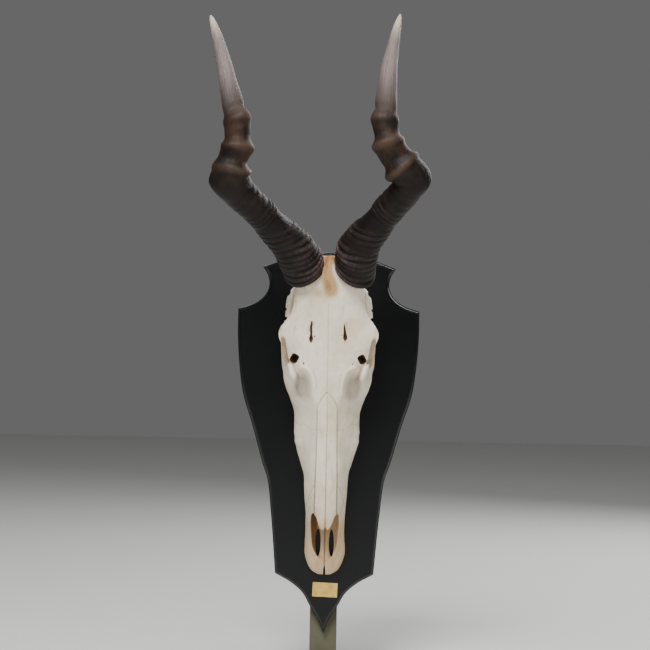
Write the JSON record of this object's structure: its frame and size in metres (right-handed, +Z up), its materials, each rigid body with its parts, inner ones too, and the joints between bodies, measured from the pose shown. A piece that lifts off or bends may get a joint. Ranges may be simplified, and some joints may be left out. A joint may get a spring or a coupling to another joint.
{
  "type": "mounted hartebeest skull",
  "caption": "Upper skull of a hartebeest with ringed horns that spread, bend and rise, on a shield-shaped black wall plaque with a blank metal label and a flat hanging bar.",
  "frame": {"origin": "on the back face of the hanging bar, level with the middle of the plaque", "axes": "+X to the viewer's right, +Y into the wall, +Z up"},
  "size_m": [0.2914, 0.314, 0.8912],
  "materials": {
    "bone": "cleaned dry bone, warm white with tan stains",
    "snout_bone": "dry bone, beige and brown",
    "horn": "dark ringed horn with grey-mauve tips",
    "black_wood": "satin black lacquer on wood",
    "label_brass": "pale brushed brass, blank",
    "bar_steel": "dull olive-grey paint"
  },
  "bodies": {
    "root": {"cranium": "bone", "nasal_left": "bone", "nasal_right": "bone", "premaxilla_left": "snout_bone", "premaxilla_right": "snout_bone", "horn_left": "horn", "horn_right": "horn", "plaque": "black_wood", "label": "label_brass", "hanging_bar": "bar_steel"}
  },
  "joints": []
}
